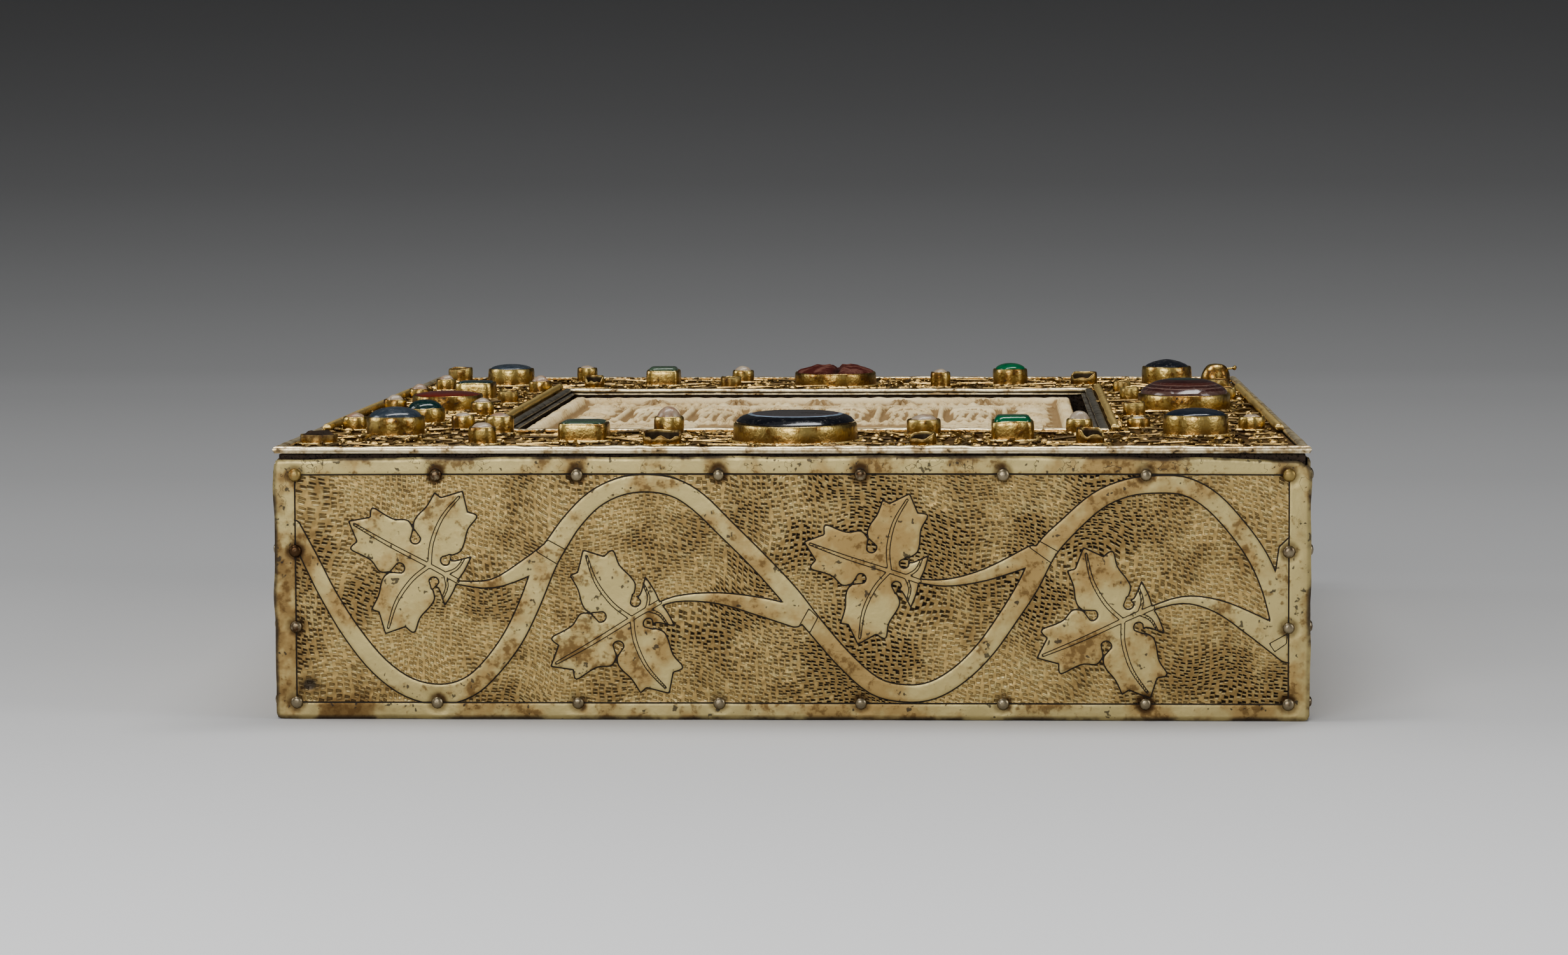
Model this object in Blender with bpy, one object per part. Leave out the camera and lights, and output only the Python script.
"""Book-shaped reliquary: an oak box clad in silver-gilt sheet, with a jewelled lid around an ivory plaque.

Metres, +Z up. The origin is the middle of the underside. The short end that carries the vine scroll faces -Y.
The box stands on its underside. The lid lifts off: its board drops inside the box's walls.
"""

import math
from typing import NamedTuple

import bmesh
import bpy
from mathutils import Matrix, Vector
from mathutils.geometry import delaunay_2d_cdt

MM = 0.001

# Box and cladding
WIDTH = 244 * MM
LENGTH = 316 * MM
CASE_HEIGHT = 61.5 * MM
SHEET = 0.7 * MM
RELIEF = 0.3 * MM
WALL = 10 * MM
FLOOR = 8 * MM
WALL_BELOW_SHEET = 2.2 * MM
GAP = 0.3 * MM

# Lid board
FLANGE = 3.0 * MM
FLANGE_CLEARANCE = 0.5 * MM
PLUG = 9.3 * MM
PLUG_CLEARANCE = 0.5 * MM

# Jewelled border and its mouldings
PLATE = 0.5 * MM
WINDOW_WIDTH = 149 * MM
WINDOW_LENGTH = 180 * MM
MOULDING_WIDTH = 2.4 * MM
MOULDING_HEIGHT = 1.7 * MM
MOULDING_LIP = 1.2 * MM
MOULDING_LIP_THICKNESS = 0.4 * MM

# Ivory plaque
PLAQUE_THICKNESS = 6.2 * MM
PLAQUE_SUNK = 0.2 * MM
PLAQUE_CLEARANCE_LEFT = 1.0 * MM
PLAQUE_CLEARANCE_RIGHT = 4.5 * MM
PLAQUE_CLEARANCE_ENDS = 1.5 * MM
PLAQUE_FIELD = 3.0 * MM
PLAQUE_MARGIN = 5.0 * MM

# Nails
NAIL_RADIUS = 1.55 * MM
NAIL_RISE = 1.2 * MM
NAIL_SIDES = 6
NAIL_PITCH_FRONT = 33.3 * MM
FRONT_END_NAIL_COUNT = 2
NAIL_PITCH_SIDES = 100 * MM

# Engraved frame line on the sheets
FRAME_SIDE = 5.3 * MM
FRAME_TOP = 3.7 * MM
FRAME_BOTTOM = 4.0 * MM

# Settings
COLLET_WALL = 0.6 * MM
COLLET_MOUTH = 0.98
SEAT_DEPTH = 2.0 * MM
SQUARE_POWER = 5.0
SETTING_SIDES = 6
MIDDLE_SETTING = 4.8 * MM
MIDDLE_SETTING_SIDES = 8
LARGE_SETTING = 9.0 * MM
LARGE_SETTING_SIDES = 12
PIN_LENGTH = 2.4 * MM

# The border's bands as drawn: half their length, and their width
DRAWN_END_BAND = (119.3, 62.6)
DRAWN_SIDE_BAND = (92.4, 42.1)

# The levels that the sizes above give
CASE_INNER = SHEET + RELIEF
CORE_BOTTOM = SHEET + GAP
CORE_TOP = CASE_HEIGHT - WALL_BELOW_SHEET
CORE_INSET = CASE_INNER + GAP
FLANGE_BOTTOM = CORE_TOP + GAP
FLANGE_TOP = FLANGE_BOTTOM + FLANGE
PLATE_BOTTOM = FLANGE_TOP + GAP
PLATE_TOP = PLATE_BOTTOM + PLATE
RECESS_DEPTH = PLAQUE_SUNK + PLAQUE_THICKNESS + GAP
PLAQUE_TOP = FLANGE_TOP - PLAQUE_SUNK
BORDER_EDGE = MOULDING_WIDTH + GAP
MERGE = 0.02 * MM

# The vine scroll as drawn on a sheet of this size, in millimetres: (across, up, width of the band)
DRAWN_WIDTH = 244.0
DRAWN_HEIGHT = 61.5
SCROLL = (
    (-117.0, 45.5, 3.3), (-113.0, 37.5, 3.8), (-109.0, 29.5, 3.9), (-103.5, 20.5, 4.2), (-97.0, 12.5, 4.4),
    (-90.0, 7.5, 4.6), (-82.5, 5.9, 4.8), (-76.0, 7.6, 4.7), (-70.8, 12.0, 4.6), (-65.5, 19.0, 4.8),
    (-61.5, 27.0, 4.9), (-57.5, 37.0, 5.2), (-54.5, 42.0, 4.8), (-51.0, 47.0, 4.4), (-46.0, 52.0, 4.2),
    (-40.0, 55.0, 4.1), (-33.5, 55.8, 3.9), (-27.0, 54.8, 4.2), (-21.5, 51.5, 4.4), (-15.0, 45.2, 4.3),
    (-7.0, 37.2, 4.3), (0.0, 29.5, 4.6), (5.7, 22.5, 4.1), (12.5, 14.6, 4.1), (19.8, 8.2, 4.2),
    (27.0, 6.4, 4.1), (33.6, 7.2, 4.2), (40.0, 11.0, 4.2), (46.0, 17.0, 4.3), (51.5, 24.8, 4.4),
    (56.0, 32.0, 4.8), (60.0, 40.0, 5.0), (65.0, 45.5, 4.4), (72.0, 51.7, 4.2), (79.0, 54.8, 4.0),
    (86.5, 55.6, 4.0), (93.0, 55.0, 4.2), (99.0, 51.5, 4.4), (105.0, 45.0, 4.4), (109.5, 38.5, 4.5),
    (112.6, 31.5, 4.5), (114.8, 23.5, 4.6), (116.4, 16.5, 4.8),
)
STALKS = (
    ((-78.6, 32.4, 0.8), (-70.0, 32.2, 2.1), (-61.3, 36.3, 4.2), (-57.0, 39.3, 4.6)),
    ((-34.1, 25.7, 0.8), (-26.9, 28.6, 1.3), (-16.8, 28.8, 2.6), (-6.5, 26.7, 4.4), (1.2, 24.5, 5.0)),
    ((28.6, 33.2, 0.7), (36.6, 32.5, 1.6), (46.2, 34.5, 2.8), (57.0, 39.0, 4.6)),
    ((82.7, 25.8, 0.8), (91.8, 28.5, 1.6), (100.1, 27.1, 3.0), (108.7, 22.5, 5.2), (116.8, 17.3, 7.0)),
)
LEAVES = (
    ((-84.9, 36.4), (-104.0, 46.9)),
    ((-37.2, 24.0), (-56.4, 12.6)),
    ((23.5, 35.2), (3.4, 42.1)),
    ((78.1, 23.7), (58.0, 14.8)),
)
ROOT_FLARE = ((113.6, 35.4), (114.4, 41.0), (118.0, 44.5), (118.0, 12.6), (114.5, 16.5))

# Half of a vine leaf, from the main tip to the stalk, in shares of the way from its heart to that tip
LEAF_HALF = (
    (0.81, 0.15), (0.84, 0.25), (0.65, 0.25), (0.44, 0.32), (0.33, 0.25), (0.37, 0.40), (0.33, 0.55),
    (0.33, 0.72), (0.24, 0.71), (0.07, 0.88), (-0.08, 0.71), (-0.20, 0.72), (-0.18, 0.55), (-0.21, 0.31),
    (-0.14, 0.20), (-0.20, 0.17), (-0.35, 0.30), (-0.36, 0.13), (-0.34, 0.02),
)
LEAF_HALF_PLAIN = ((0.80, 0.22), (0.33, 0.26), (0.35, 0.65), (0.07, 0.88), (-0.20, 0.65), (-0.22, 0.10))

# The plainer scroll of the other three sides: one leaf in each bay of about this width
BAY = 56 * MM
BAY_STEPS = 4
SCROLL_LOW = 6.4
SCROLL_HIGH = 55.2
SCROLL_BAND = 4.1
SCROLL_OVERRUN = 0.06

# The leaf's heart and tip, and its stalk's start, bend and root, from the middle of a bay and from the foot
LEAF_MARKS = ((-2.5, 36.4), (-21.5, 46.9), (4.0, 32.4), (16.0, 32.7), (31.5, 36.9))
STALK_WIDTHS = (0.8, 2.0, 4.2)

# The plaque's carving as drawn on a plaque of this size, in millimetres from its middle
DRAWN_PLAQUE_WIDTH = 143.5
DRAWN_PLAQUE_LENGTH = 177.0
ARCH_COUNT = 6
ARCH_PITCH = 17.6
ARCH_SPRING = 60.0
ARCH_OUTER = 8.4
ARCH_INNER = 6.9
ARCH_STEPS = 4
HALO_RADIUS = 5.4
HEAD_RADIUS = 3.2
HEAD_UP = 59.0
FEET_UP = 0.0
BOSS_PITCH = 11.0
BOSS_COUNT = 11
BOSS_UP = 75.5
BOSS_SIZES = (2.4, 3.6)
CLOUD_ROWS = 4
CLOUD_PITCH = 18.0
TOWER_ACROSS = 46.0
LOWER_HEAD_UP = -16.0
LOWER_FEET_UP = -78.0


class Setting(NamedTuple):
    """One stone or empty collet on the border."""

    name: str
    side: str
    along: float
    across: float
    half_width: float
    half_depth: float
    height: float
    rise: float
    cut: str


# Along is from the band's middle and across from its inner edge, in millimetres for the bands as drawn
SETTINGS = (
    Setting("onyx_oval_front", "front", 0.0, 31.3, 15.0, 19.5, 4.8, 2.2, "table"),
    Setting("green_glass_front", "front", -51.24, 31.3, 6.0, 7.3, 4.8, 0.5, "square"),
    Setting("green_cabochon_front", "front", 52.46, 29.42, 5.2, 6.2, 5.1, 1.2, "square"),
    Setting("pearl_front_1", "front", -32.33, 8.14, 3.7, 3.7, 4.8, 2.4, "pearl"),
    Setting("pearl_front_2", "front", 30.74, 10.33, 4.2, 4.2, 4.3, 1.1, "pearl"),
    Setting("pearl_front_3", "front", 69.05, 5.32, 3.3, 3.3, 4.1, 1.9, "pearl"),
    Setting("pearl_front_4", "front", -74.66, 5.32, 3.5, 3.5, 4.8, 0.7, "pearl"),
    Setting("pearl_front_5", "front", -74.42, 45.07, 3.4, 3.4, 4.6, 1.0, "pearl"),
    Setting("empty_front_1", "front", -31.11, 47.26, 4.6, 4.6, 3.8, 0.0, "broken"),
    Setting("empty_front_2", "front", 31.11, 51.33, 3.1, 3.1, 3.6, 0.0, "broken"),
    Setting("empty_front_3", "front", 70.76, 45.07, 3.3, 3.3, 4.3, 0.0, "broken"),
    Setting("dark_stone_corner", "front", -114.46, 41.28, 4.4, 4.4, 2.6, 1.0, "cabochon"),
    Setting("blue_cabochon_left_front", "front", -99.6, 13.16, 7.1, 7.8, 5.2, 2.3, "cabochon"),
    Setting("blue_cabochon_right_front", "front", 97.41, 10.79, 8.0, 8.8, 5.4, 1.5, "cabochon"),
    Setting("pearl_left_1", "left", -83.74, 35.49, 3.15, 3.15, 3.8, 0.9, "pearl"),
    Setting("dark_green_cabochon_left", "left", -56.88, 21.22, 5.05, 5.6, 4.4, 2.1, "cabochon"),
    Setting("pearl_left_2", "left", -6.32, 35.79, 3.1, 3.1, 3.7, 1.2, "pearl"),
    Setting("pearl_left_3", "left", 53.72, 36.8, 2.9, 2.9, 3.3, 1.3, "pearl"),
    Setting("carnelian_oval_left", "left", 0.0, 22.31, 9.5, 12.5, 4.7, 0.8, "cabochon"),
    Setting("dark_green_glass_left", "left", 53.72, 20.8, 5.4, 6.5, 5.1, 0.3, "square"),
    Setting("pearl_left_5", "left", 82.16, 5.39, 3.25, 3.25, 3.9, 1.5, "pearl"),
    Setting("pearl_left_6", "left", -25.28, 10.1, 3.05, 3.05, 4.1, 1.0, "pearl"),
    Setting("pearl_left_7", "left", -82.16, 8.42, 2.9, 2.9, 4.0, 0.7, "pearl"),
    Setting("empty_left_1", "left", 31.6, 9.26, 2.8, 2.8, 4.1, 0.0, "empty"),
    Setting("pale_stone_right", "right", -77.42, 7.11, 2.9, 2.9, 3.0, 0.2, "pearl"),
    Setting("banded_agate_right", "right", 0.0, 21.81, 12.3, 16.0, 4.9, 3.9, "table"),
    Setting("pearl_right_1", "right", -85.32, 34.94, 3.25, 3.25, 3.8, 0.5, "pearl"),
    Setting("empty_right_1", "right", -28.44, 7.58, 2.9, 2.9, 4.3, 0.0, "empty"),
    Setting("empty_right_2", "right", 37.13, 8.42, 2.6, 2.6, 4.6, 0.0, "empty"),
    Setting("empty_right_3", "right", 82.16, 7.58, 2.5, 2.5, 3.9, 0.0, "empty"),
    Setting("empty_right_4", "right", 42.03, 35.49, 2.5, 2.5, 4.3, 0.0, "empty"),
    Setting("pearl_left_4", "back", -111.81, 5.26, 2.9, 2.9, 3.7, 1.2, "pearl"),
    Setting("blue_cabochon_left_back", "back", -95.81, 33.7, 6.8, 8.2, 5.4, 1.2, "cabochon"),
    Setting("empty_left_2", "back", -113.41, 54.24, 3.6, 3.6, 4.6, 0.0, "empty"),
    Setting("dark_blue_cabochon_right", "back", 99.39, 33.7, 7.35, 8.1, 5.8, 2.1, "cabochon"),
    Setting("empty_right_5", "back", 113.49, 5.26, 2.8, 2.8, 3.6, 0.0, "empty"),
    Setting("gold_lump_corner", "back", 114.8, 53.29, 4.1, 4.1, 4.6, 1.0, "lump"),
    Setting("pearl_back_1", "back", -74.42, 49.45, 3.0, 3.0, 4.8, 0.6, "pearl"),
    Setting("empty_back_1", "back", -69.3, 15.27, 2.8, 2.8, 4.2, 0.0, "broken"),
    Setting("green_glass_back", "back", -50.02, 31.3, 4.95, 6.0, 5.0, 0.9, "square"),
    Setting("pearl_back_2", "back", -27.21, 47.33, 3.25, 3.25, 4.1, 1.2, "pearl"),
    Setting("empty_back_2", "back", -29.28, 19.41, 3.0, 3.0, 3.6, 0.0, "empty"),
    Setting("red_stone_back", "back", 1.22, 31.3, 12.0, 15.6, 4.4, 2.0, "rough"),
    Setting("pearl_back_3", "back", 32.45, 19.41, 2.9, 2.9, 4.9, 0.9, "pearl"),
    Setting("green_cabochon_back", "back", 53.07, 31.3, 5.1, 6.1, 5.3, 1.6, "cabochon"),
    Setting("empty_back_3", "back", 74.91, 31.3, 3.9, 3.9, 4.3, 0.0, "broken"),
)
HOLLOW = ("empty", "broken")
ENDS = ("front", "back")

GILT = ("gilt_silver", (0.72, 0.56, 0.31), 0.34, 1.0)
GOLD = ("gold", (0.78, 0.56, 0.24), 0.28, 1.0)
OAK = ("oak", (0.20, 0.12, 0.07), 0.75, 0.0)
IVORY = ("ivory", (0.78, 0.69, 0.52), 0.5, 0.0)
STONE_COLOURS = {
    "pearl": (0.80, 0.76, 0.70), "onyx": (0.03, 0.04, 0.06), "green": (0.05, 0.26, 0.14),
    "blue": (0.20, 0.28, 0.40), "dark": (0.02, 0.05, 0.04), "carnelian": (0.32, 0.05, 0.03),
    "banded": (0.42, 0.22, 0.16), "pale": (0.72, 0.72, 0.68), "red": (0.25, 0.07, 0.06),
}


def clear_scene():
    for thing in list(bpy.data.objects):
        bpy.data.objects.remove(thing, do_unlink=True)


def material(look):
    name, colour, roughness, metallic = look
    made = bpy.data.materials.get(name) or bpy.data.materials.new(name)
    made.use_nodes = True
    shader = made.node_tree.nodes["Principled BSDF"]
    shader.inputs["Base Color"].default_value = (*colour, 1.0)
    shader.inputs["Roughness"].default_value = roughness
    shader.inputs["Metallic"].default_value = metallic
    return made


def place(name, bm, look, parent, location=(0.0, 0.0, 0.0), turn=0.0, upright=False):
    """Make an object of a finished bmesh and stand it in its place."""
    bmesh.ops.recalc_face_normals(bm, faces=bm.faces)
    mesh = bpy.data.meshes.new(name)
    bm.to_mesh(mesh)
    bm.free()
    mesh.materials.append(material(look))
    made = bpy.data.objects.new(name, mesh)
    bpy.context.collection.objects.link(made)
    made.parent = parent
    made.location = location
    made.rotation_euler = (math.radians(90) if upright else 0.0, 0.0, math.radians(turn))
    return made


def group(name, parent=None):
    made = bpy.data.objects.new(name, None)
    bpy.context.collection.objects.link(made)
    made.parent = parent
    return made


def rectangle(half_x, half_y, x=0.0, y=0.0):
    return [(x - half_x, y - half_y), (x + half_x, y - half_y), (x + half_x, y + half_y), (x - half_x, y + half_y)]


def rounded(x, y, half_x, half_y, sides, power=2.0):
    """An ellipse for power 2, and a rectangle with softer corners for a higher one."""
    outline = []
    for number in range(sides):
        angle = 2 * math.pi * (number + 0.5) / sides
        cosine, sine = math.cos(angle), math.sin(angle)
        reach_x = math.copysign(abs(cosine) ** (2 / power), cosine)
        reach_y = math.copysign(abs(sine) ** (2 / power), sine)
        outline.append((x + half_x * reach_x, y + half_y * reach_y))
    return outline


def disc(x, y, radius, sides):
    """A circle whose first corner lies on +x, so that corners of an even one lie on a line through it."""
    angles = [2 * math.pi * number / sides for number in range(sides)]
    return [(x + radius * math.cos(angle), y + radius * math.sin(angle)) for angle in angles]


def counterclockwise(outline):
    area = sum(a[0] * b[1] - b[0] * a[1] for a, b in zip(outline, outline[1:] + outline[:1]))
    return outline if area > 0 else outline[::-1]


def flat_regions(outline, regions):
    """A flat face cut along every region's outline; a face layer holds the number of the last region it is in."""
    points, loops = [], []
    for loop in [outline] + regions:
        start = len(points)
        points.extend(Vector(point) for point in counterclockwise(list(loop)))
        loops.append(list(range(start, len(points))))
    places, _, triangles, _, _, sources = delaunay_2d_cdt(points, [], loops, 0, MERGE)
    bm = bmesh.new()
    number = bm.faces.layers.int.new("region")
    corners = [bm.verts.new((point[0], point[1], 0.0)) for point in places]
    for triangle, inside in zip(triangles, sources):
        if inside:
            face = bm.faces.new([corners[index] for index in triangle])
            face[number] = max(inside)
    loose = [vert for vert in bm.verts if not vert.link_faces]
    bmesh.ops.delete(bm, geom=loose, context="VERTS")
    return bm, number


def extrude(bm, faces, keep_base=False):
    grown = bmesh.ops.extrude_face_region(bm, geom=faces)["geom"]
    if not keep_base:
        bmesh.ops.delete(bm, geom=faces, context="FACES")
    return [part for part in grown if isinstance(part, bmesh.types.BMFace)]


def lift(bm, faces, height):
    """Raise a region, or sink it where the height is negative."""
    tops = extrude(bm, faces)
    verts = {vert for face in tops for vert in face.verts}
    bmesh.ops.translate(bm, vec=(0.0, 0.0, height), verts=list(verts))
    return tops


def join_stacked_walls(bm):
    """Join upright faces that stand on each other, which lifting in several steps leaves."""
    bm.normal_update()
    upright = {face for face in bm.faces if abs(face.normal.z) < 0.01}
    seams = [edge for edge in bm.edges
             if abs(edge.verts[0].co.z - edge.verts[1].co.z) < MERGE / 10 and set(edge.link_faces) <= upright]
    bmesh.ops.dissolve_edges(bm, edges=seams, use_verts=True)


def merged(bm, faces):
    """The one face that a region's triangles make."""
    if len(faces) == 1:
        return faces[0]
    return bmesh.ops.dissolve_faces(bm, faces=faces)["region"][0]


def build_up(bm, face, centre, steps, keep_base=False):
    """Extrude a face through steps of (share of half width, share of half depth, height, height at the low side)."""
    base = face.verts[0].co.z
    share = (1.0, 1.0)
    half_depth = max(abs(vert.co.y - centre[1]) for vert in face.verts)
    for number, (share_x, share_y, height, low) in enumerate(steps):
        face = extrude(bm, [face], keep_base=keep_base and number == 0)[0]
        for vert in face.verts:
            vert.co.x = centre[0] + (vert.co.x - centre[0]) * share_x / share[0]
            vert.co.y = centre[1] + (vert.co.y - centre[1]) * share_y / share[1]
            lean = 0.5 + 0.5 * (vert.co.y - centre[1]) / (half_depth * share_y)
            vert.co.z = base + low + (height - low) * lean
        share = (share_x, share_y)
    return face


def thicken(bm, depth):
    """Close an open sheet below by the depth, measured from its lowest rim."""
    rim = [edge for edge in bm.edges if edge.is_boundary]
    grown = bmesh.ops.extrude_edge_only(bm, edges=rim)["geom"]
    verts = [part for part in grown if isinstance(part, bmesh.types.BMVert)]
    bmesh.ops.translate(bm, vec=(0.0, 0.0, -depth), verts=verts)
    return [edge for edge in bm.edges if edge.is_boundary]


def board(half_x, half_y, bottom, top):
    bm = bmesh.new()
    corners = [bm.verts.new((x, y, bottom)) for x, y in rectangle(half_x, half_y)]
    face = bm.faces.new(corners)
    top_face = extrude(bm, [face], keep_base=True)[0]
    bmesh.ops.translate(bm, vec=(0.0, 0.0, top - bottom), verts=top_face.verts)
    return bm, top_face


def sink(bm, face, thickness, depth):
    """Inset a face evenly and push its middle down, or up where the depth is negative."""
    bmesh.ops.inset_individual(bm, faces=[face], thickness=thickness, use_even_offset=True)
    bottom = extrude(bm, [face])[0]
    bmesh.ops.translate(bm, vec=(0.0, 0.0, -depth), verts=bottom.verts)
    return bottom


def ribbon(points):
    """The outline of a band along (across, up, width) points, which are in metres."""
    left, right = [], []
    for number, (x, y, width) in enumerate(points):
        before, after = points[max(number - 1, 0)], points[min(number + 1, len(points) - 1)]
        along = Vector((after[0] - before[0], after[1] - before[1])).normalized()
        left.append((x - along.y * width / 2, y + along.x * width / 2))
        right.append((x + along.y * width / 2, y - along.x * width / 2))
    return left + right[::-1]


def leaf(heart, tip, half):
    """A leaf's outline from its heart, its main tip and half of its shape."""
    axis = Vector(tip) - Vector(heart)
    side = Vector((-axis.y, axis.x))
    shape = [(1.0, 0.0)] + list(half) + [(along, -off) for along, off in reversed(half)]
    return [tuple(Vector(heart) + axis * along + side * off) for along, off in shape]


def clip_to_field(outline, half, low, high):
    """Keep an outline's points on the sheet's engraved frame or inside it."""
    return [(min(max(x, -half), half), min(max(y, low), high)) for x, y in outline]


def front_ornament():
    """The scroll, stalks and leaves of the front sheet, in metres on the sheet."""
    across, up = WIDTH / DRAWN_WIDTH, CASE_HEIGHT / DRAWN_HEIGHT
    bands = [[(x * across, y * up, width * up) for x, y, width in band] for band in (SCROLL,) + STALKS]
    outlines = [ribbon(band) for band in bands]
    for heart, tip in LEAVES:
        outlines.append(leaf((heart[0] * across, heart[1] * up), (tip[0] * across, tip[1] * up), LEAF_HALF))
    outlines.append([(x * across, y * up) for x, y in ROOT_FLARE])
    return outlines


def plain_ornament(length):
    """The plainer scroll of the other sides: an even wave with one leaf in each bay."""
    usable = length - 2 * FRAME_SIDE
    bays = max(round(usable / BAY), 1)
    bay = usable / bays
    up = CASE_HEIGHT / DRAWN_HEIGHT
    middle, swing = (SCROLL_LOW + SCROLL_HIGH) / 2, (SCROLL_HIGH - SCROLL_LOW) / 2
    inner_shares = [step / BAY_STEPS for step in range(1, bays * BAY_STEPS)]
    wave = []
    for share in [-SCROLL_OVERRUN] + inner_shares + [bays + SCROLL_OVERRUN]:
        height = middle - swing * math.sin(math.pi * share)
        wave.append((share * bay - usable / 2, height * up, SCROLL_BAND * up))
    outlines = [ribbon(wave)]
    for number in range(bays):
        turn = (number + 0.5) * bay - usable / 2
        marks = [(turn + x * bay / BAY * MM, (DRAWN_HEIGHT - y if number % 2 else y) * up) for x, y in LEAF_MARKS]
        heart, tip = marks[:2]
        outlines.append(ribbon([(*mark, width * up) for mark, width in zip(marks[2:], STALK_WIDTHS)]))
        outlines.append(leaf(heart, tip, LEAF_HALF_PLAIN))
    return outlines


def nail_places(length, pitch, at_ends):
    """Nails along the engraved frame: rows at the top and the bottom, and so many more at each end."""
    half = length / 2 - FRAME_SIDE
    low, high = FRAME_BOTTOM, CASE_HEIGHT - FRAME_TOP
    count = max(round(2 * half / pitch), 1)
    row = [-half + 2 * half * number / count for number in range(count + 1)]
    places = [(x, y) for x in row for y in (low, high)]
    heights = [low + (high - low) * (number + 1) / (at_ends + 1) for number in range(at_ends)]
    return places + [(x, y) for x in (-half, half) for y in heights]


def side_sheet(length, ornament, pitch, nails_at_ends):
    """A clad side: the raised frame, scroll and leaves stand proud of the punched ground."""
    half = length / 2
    low, high = FRAME_BOTTOM, CASE_HEIGHT - FRAME_TOP
    field = rectangle(half - FRAME_SIDE, (high - low) / 2, 0.0, (high + low) / 2)
    centres = nail_places(length, pitch, nails_at_ends)
    nails = [disc(x, y, NAIL_RADIUS, NAIL_SIDES) for x, y in centres]
    raised = [clip_to_field(outline, half - FRAME_SIDE, low, high) for outline in ornament]
    whole = rectangle(half, CASE_HEIGHT / 2, 0.0, CASE_HEIGHT / 2)
    bm, number = flat_regions(whole, [field] + raised + nails)
    ground = 1
    first_nail = 2 + len(raised)
    tops = lift(bm, [face for face in bm.faces if face[number] != ground], RELIEF)
    for nail, centre in enumerate(centres):
        head = merged(bm, [face for face in tops if face.is_valid and face[number] == first_nail + nail])
        build_up(bm, head, centre, [(0.6, 0.6, NAIL_RISE - RELIEF, NAIL_RISE - RELIEF)])
    rim = thicken(bm, SHEET)
    bmesh.ops.holes_fill(bm, edges=rim, sides=0)
    bmesh.ops.translate(bm, vec=(0.0, 0.0, SHEET), verts=bm.verts)
    return bm


def moulding(length, lip=0.0):
    """A half-round bar along X with mitred ends. Its outer side is at y 0 and it runs inwards to +y."""
    steps = 5
    profile = [(0.0, 0.0)]
    for number in range(steps + 1):
        angle = math.pi * (1 - number / steps)
        y = MOULDING_WIDTH / 2 * (1 + math.cos(angle))
        profile.append((y, MOULDING_HEIGHT * (0.25 + 0.75 * math.sin(angle))))
    if lip:
        profile.append((MOULDING_WIDTH, MOULDING_LIP_THICKNESS))
        profile.append((MOULDING_WIDTH + lip, MOULDING_LIP_THICKNESS))
    profile.append((MOULDING_WIDTH + lip, 0.0))
    mitre = GAP / math.sqrt(2)
    bm = bmesh.new()
    verts = [bm.verts.new((-length / 2 + y + mitre, y, z)) for y, z in profile]
    end = extrude(bm, [bm.faces.new(verts)], keep_base=True)[0]
    for vert in end.verts:
        vert.co.x = length / 2 - vert.co.y - mitre
    return bm


def frame_of_mouldings(prefix, half_x, half_y, lip, parent):
    """Four mitred mouldings around a rectangle, from its outer size."""
    runs = (("front", 2 * half_x, (0.0, -half_y), 0), ("right", 2 * half_y, (half_x, 0.0), 90),
            ("back", 2 * half_x, (0.0, half_y), 180), ("left", 2 * half_y, (-half_x, 0.0), 270))
    for side, length, (x, y), turn in runs:
        place(f"{prefix}_{side}", moulding(length, lip), GILT, parent, (x, y, PLATE_BOTTOM), turn)


def inner_border():
    """Half sizes of the border plate's window, outside the inner mouldings."""
    return WINDOW_WIDTH / 2 + BORDER_EDGE, WINDOW_LENGTH / 2 + BORDER_EDGE


def outer_border():
    return WIDTH / 2 - BORDER_EDGE, LENGTH / 2 - BORDER_EDGE


def band(side):
    """One side's band of the border: half its length, its inner edge and its width."""
    inner_x, inner_y = inner_border()
    outer_x, outer_y = outer_border()
    if side in ENDS:
        return outer_x, inner_y, outer_y - inner_y
    return inner_y - GAP, inner_x, outer_x - inner_x


def setting_scale(setting):
    """Metres for a drawn millimetre, along a setting's band and across it."""
    half_length, _, width = band(setting.side)
    drawn_half_length, drawn_width = DRAWN_END_BAND if setting.side in ENDS else DRAWN_SIDE_BAND
    return half_length / drawn_half_length, width / drawn_width


def setting_centre(setting):
    """Where a setting stands on the border."""
    along_scale, across_scale = setting_scale(setting)
    along = setting.along * along_scale
    across = band(setting.side)[1] + setting.across * across_scale
    if setting.side in ENDS:
        return along, across if setting.side == "back" else -across
    return across if setting.side == "right" else -across, along


def setting_size(setting):
    """Half the setting's width and half its depth."""
    along_scale, across_scale = setting_scale(setting)
    if setting.side in ENDS:
        return setting.half_width * along_scale, setting.half_depth * across_scale
    return setting.half_width * across_scale, setting.half_depth * along_scale


def setting_outline(setting, centre, shrink=0.0):
    half_x, half_y = setting_size(setting)
    sides = MIDDLE_SETTING_SIDES if setting.half_width * MM > MIDDLE_SETTING else SETTING_SIDES
    if setting.half_width * MM > LARGE_SETTING:
        sides = LARGE_SETTING_SIDES
    power = SQUARE_POWER if setting.cut == "square" else 2.0
    return rounded(*centre, half_x - shrink, half_y - shrink, sides, power)


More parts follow.
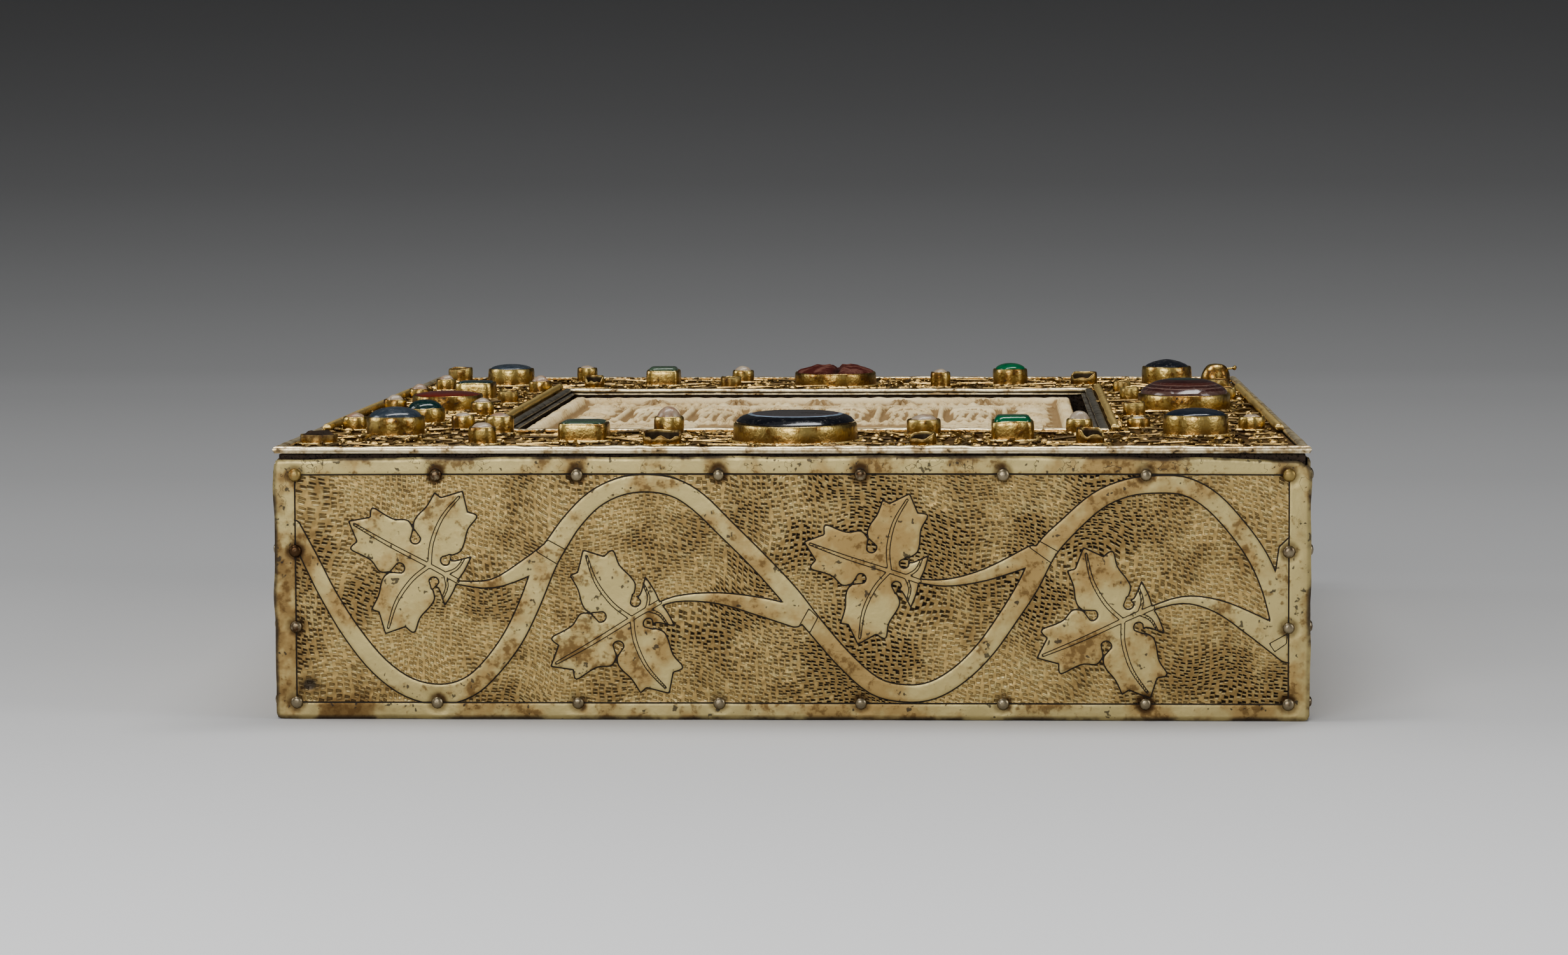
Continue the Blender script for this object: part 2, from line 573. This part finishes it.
def collet_steps(setting):
    """The steps that raise a collet from the plate and sink its seat."""
    half_x, half_y = setting_size(setting)
    height = setting.height * MM
    bore_x = COLLET_MOUTH - COLLET_WALL / half_x
    bore_y = COLLET_MOUTH - COLLET_WALL / half_y
    if setting.cut == "lump":
        top = height + setting.rise * MM
        return [(1.0, 1.0, height * 0.5, height * 0.5), (0.8, 0.8, top * 0.9, top * 0.9), (0.4, 0.4, top, top)]
    low = height * (0.62 if setting.cut == "broken" else 1.0)
    seat = height - SEAT_DEPTH if setting.cut not in HOLLOW else 0.6 * MM
    return [(COLLET_MOUTH, COLLET_MOUTH, height, low), (bore_x, bore_y, height, low), (bore_x, bore_y, seat, seat)]


def border_plate(side):
    """One of the border's four plates, with its collets soldered to it."""
    half_length, inner, width = band(side)
    middle = (inner + width / 2) * (-1 if side in ("front", "left") else 1)
    if side in ENDS:
        outline = rectangle(half_length, width / 2, 0.0, middle)
    else:
        outline = rectangle(width / 2, half_length, middle, 0.0)
    settings = [setting for setting in SETTINGS if setting.side == side]
    bm, number = flat_regions(outline, [setting_outline(setting, setting_centre(setting)) for setting in settings])
    for index, setting in enumerate(settings):
        face = merged(bm, [face for face in bm.faces if face[number] == index + 1])
        top = build_up(bm, face, setting_centre(setting), collet_steps(setting))
        if setting.cut == "lump":
            draw_pin(bm, top)
    rim = thicken(bm, PLATE)
    bmesh.ops.holes_fill(bm, edges=rim, sides=0)
    bmesh.ops.translate(bm, vec=(0.0, 0.0, PLATE_TOP), verts=bm.verts)
    return bm


def draw_pin(bm, top):
    """Draw the corner lump's side out into its short pin, towards the right edge."""
    walls = {face for vert in top.verts for edge in vert.link_edges for face in edge.link_faces}
    outward = max(walls - {top}, key=lambda face: face.calc_center_median().x)
    pin = extrude(bm, [outward])[0]
    middle = pin.calc_center_median()
    bmesh.ops.scale(bm, vec=(0.25, 0.25, 0.25), space=Matrix.Translation(-middle), verts=pin.verts)
    bmesh.ops.translate(bm, vec=(PIN_LENGTH, 0.0, 0.0), verts=pin.verts)


def stone_steps(setting, bottom):
    """The steps that build a stone up from its seat."""
    height, rise = setting.height * MM - bottom, setting.rise * MM
    level = [(1.0, 1.0, height - 0.1 * MM, height - 0.1 * MM)]
    if setting.cut == "pearl":
        return level + [(0.62, 0.62, height + rise, height + rise)]
    if setting.cut == "table":
        return level + [(0.70, 0.72, height + rise, height + rise)]
    if setting.cut == "square":
        return level + [(0.80, 0.82, height + rise, height + rise)]
    return level + [(0.82, 0.82, height + rise * 0.6, height + rise * 0.6), (0.42, 0.42, height + rise, height + rise)]


def stone(setting):
    """A stone that rests in its collet with the usual clearance."""
    shrink = COLLET_WALL + (1 - COLLET_MOUTH) * max(setting_size(setting)) + GAP
    bottom = setting.height * MM - SEAT_DEPTH + GAP
    bm = bmesh.new()
    outline = setting_outline(setting, (0.0, 0.0), shrink)
    face = bm.faces.new([bm.verts.new((x, y, bottom)) for x, y in counterclockwise(outline)])
    build_up(bm, face, (0.0, 0.0), stone_steps(setting, bottom), keep_base=True)
    return bm


def stone_look(name):
    for word, colour in STONE_COLOURS.items():
        if word in name:
            return (f"stone_{word}", colour, 0.2, 0.0)
    return ("stone_pale", STONE_COLOURS["pale"], 0.2, 0.0)


def arch_band(x, y):
    """A round arch's band, from one springing to the other."""
    angles = [math.pi * step / ARCH_STEPS for step in range(ARCH_STEPS + 1)]
    outer = [(x + ARCH_OUTER * math.cos(angle), y + ARCH_OUTER * math.sin(angle)) for angle in angles]
    inner = [(x + ARCH_INNER * math.cos(angle), y + ARCH_INNER * math.sin(angle)) for angle in angles]
    return outer + inner[::-1]


def robe(x, shoulder, feet, half):
    """A standing figure's robe: shoulders, sleeves and a wider hem."""
    return [(x - 0.45 * half, shoulder), (x - 0.88 * half, shoulder - 5), (x - half, feet), (x + half, feet),
            (x + 0.88 * half, shoulder - 5), (x + 0.45 * half, shoulder)]


def column(x):
    """A slender column with its capital, up to the springing of the arches."""
    top, neck = ARCH_SPRING, ARCH_SPRING - 4.0
    return [(x - 0.9, FEET_UP), (x + 0.9, FEET_UP), (x + 0.9, neck), (x + 2.0, top), (x - 2.0, top), (x - 0.9, neck)]


def tower(x, half, low, high):
    """A masonry block with three merlons."""
    merlon = half * 2 / 5
    outline = [(x - half, low), (x + half, low)]
    for number in range(3):
        right = x + half - 2 * number * merlon
        outline += [(right, high), (right - merlon, high)]
        if number < 2:
            outline += [(right - merlon, high - 4), (right - 2 * merlon, high - 4)]
    return outline


def fold(x, shoulder, feet, half):
    """The robe's front fold, which stands proud of it."""
    return [(x - 0.35 * half, shoulder - 7), (x - 0.55 * half, feet + 2), (x + 0.55 * half, feet + 2),
            (x + 0.35 * half, shoulder - 7)]


def carving():
    """The plaque's carved forms in the order they lie, each with its height above the field in millimetres."""
    first = -(ARCH_COUNT - 1) / 2 * ARCH_PITCH
    centres = [first + number * ARCH_PITCH for number in range(ARCH_COUNT)]
    shoulder = HEAD_UP - HEAD_RADIUS - 0.6
    forms = []
    for x in centres:
        forms.append((arch_band(x, ARCH_SPRING), 1.6))
        forms.append((rounded(x, HEAD_UP, HALO_RADIUS, HALO_RADIUS, 6), 0.9))
    for number in range(ARCH_COUNT + 1):
        forms.append((column(first + (number - 0.5) * ARCH_PITCH), 1.8))
    for x in centres:
        forms.append((robe(x, shoulder, FEET_UP, 6.6), 1.8))
        forms.append((fold(x, shoulder, FEET_UP, 6.6), 2.4))
        forms.append((rounded(x, HEAD_UP, HEAD_RADIUS * 0.85, HEAD_RADIUS, 6), 2.6))
    for number in range(BOSS_COUNT):
        x = (number - (BOSS_COUNT - 1) / 2) * BOSS_PITCH
        forms.append((rounded(x, BOSS_UP, BOSS_SIZES[number % 2], BOSS_SIZES[0], 5), 2.6))
    for side in (-1, 1):
        for row in range(CLOUD_ROWS):
            forms.append((rectangle(4.6, 4.6, side * 60.5, 8 + row * CLOUD_PITCH), 1.8))
        forms.append((tower(side * TOWER_ACROSS, 17.0, LOWER_FEET_UP, -12.0), 1.6))
    forms.append((rectangle(64.0, 1.4, 0.0, FEET_UP - 4.0), 1.6))
    forms.append((rounded(0.0, LOWER_HEAD_UP, 9.0, 9.0, 8), 0.9))
    forms.append((robe(0.0, LOWER_HEAD_UP - 5.0, LOWER_FEET_UP, 17.0), 1.8))
    forms.append((fold(0.0, LOWER_HEAD_UP - 5.0, LOWER_FEET_UP, 17.0), 2.4))
    forms.append((rounded(0.0, LOWER_HEAD_UP, 4.6, 5.4, 7), 2.6))
    return forms


def ivory_plaque():
    """The carved plaque: a plain margin around a sunk field with the figures left standing."""
    width = WINDOW_WIDTH - PLAQUE_CLEARANCE_LEFT - PLAQUE_CLEARANCE_RIGHT
    length = WINDOW_LENGTH - 2 * PLAQUE_CLEARANCE_ENDS
    across, up = width / DRAWN_PLAQUE_WIDTH, length / DRAWN_PLAQUE_LENGTH
    forms = carving()
    outlines = [[(x * across, y * up) for x, y in outline] for outline, _ in forms]
    field = rectangle(width / 2 - PLAQUE_MARGIN, length / 2 - PLAQUE_MARGIN)
    bm, number = flat_regions(rectangle(width / 2, length / 2), [field] + outlines)
    faces = lift(bm, [face for face in bm.faces if face[number] > 0], -PLAQUE_FIELD)
    heights = [0.0, 0.0] + [height for _, height in forms]
    reached = 0.0
    for level in sorted(set(heights) - {0.0}):
        faces = lift(bm, [face for face in faces if heights[face[number]] >= level], (level - reached) * MM)
        reached = level
    join_stacked_walls(bm)
    rim = thicken(bm, PLAQUE_THICKNESS)
    bmesh.ops.holes_fill(bm, edges=rim, sides=0)
    return bm


def build_case(parent):
    """The oak box, its four clad sides and its underside sheet."""
    half_x, half_y = WIDTH / 2 - CORE_INSET, LENGTH / 2 - CORE_INSET
    bm, top = board(half_x, half_y, CORE_BOTTOM, CORE_TOP)
    sink(bm, top, WALL, CORE_TOP - CORE_BOTTOM - FLOOR)
    place("box_core", bm, OAK, parent)
    bm, _ = board(half_x, half_y, 0.0, SHEET)
    place("underside_sheet", bm, GILT, parent)
    end_length = WIDTH - 2 * CORE_INSET
    end_y = LENGTH / 2 - CASE_INNER
    side_x = WIDTH / 2 - CASE_INNER
    front = side_sheet(end_length, front_ornament(), NAIL_PITCH_FRONT, FRONT_END_NAIL_COUNT)
    place("front_sheet", front, GILT, parent, (0.0, -end_y, 0.0), 0, True)
    back = side_sheet(end_length, plain_ornament(end_length), NAIL_PITCH_SIDES, 0)
    place("back_sheet", back, GILT, parent, (0.0, end_y, 0.0), 180, True)
    for side, x, turn in (("right", side_x, 90), ("left", -side_x, 270)):
        sheet = side_sheet(LENGTH, plain_ornament(LENGTH), NAIL_PITCH_SIDES, 0)
        place(f"{side}_sheet", sheet, GILT, parent, (x, 0.0, 0.0), turn, True)


def lid_board():
    """The lid's board: a flange above, a plug that drops into the box, and the plaque's recess."""
    flange_x = WIDTH / 2 - CASE_INNER - FLANGE_CLEARANCE
    flange_y = LENGTH / 2 - CASE_INNER - FLANGE_CLEARANCE
    plug_inset = CORE_INSET + WALL + PLUG_CLEARANCE - CASE_INNER - FLANGE_CLEARANCE
    bm, number = flat_regions(rectangle(flange_x, flange_y), [rectangle(WINDOW_WIDTH / 2, WINDOW_LENGTH / 2)])
    lift(bm, [face for face in bm.faces if face[number] == 1], -RECESS_DEPTH)
    rim = thicken(bm, FLANGE)
    under = bmesh.ops.holes_fill(bm, edges=rim, sides=0)["faces"][0]
    sink(bm, under, plug_inset, PLUG)
    bmesh.ops.translate(bm, vec=(0.0, 0.0, FLANGE_TOP), verts=bm.verts)
    return bm


def build_lid(parent):
    """The lift-off lid: board, jewelled border, mouldings, plaque and stones."""
    place("lid_board", lid_board(), OAK, parent)
    for side in ("front", "right", "back", "left"):
        place(f"border_{side}", border_plate(side), GOLD, parent)
    frame_of_mouldings("outer_moulding", WIDTH / 2, LENGTH / 2, 0.0, parent)
    frame_of_mouldings("inner_moulding", WINDOW_WIDTH / 2 + MOULDING_WIDTH, WINDOW_LENGTH / 2 + MOULDING_WIDTH,
                       MOULDING_LIP, parent)
    plaque_x = (PLAQUE_CLEARANCE_LEFT - PLAQUE_CLEARANCE_RIGHT) / 2
    place("ivory_plaque", ivory_plaque(), IVORY, parent, (plaque_x, 0.0, PLAQUE_TOP))
    for setting in SETTINGS:
        if setting.cut in HOLLOW or setting.cut == "lump":
            continue
        x, y = setting_centre(setting)
        place(setting.name, stone(setting), stone_look(setting.name), parent, (x, y, PLATE_TOP))


def main():
    clear_scene()
    reliquary = group("reliquary")
    build_case(group("case", reliquary))
    build_lid(group("lid", reliquary))


main()
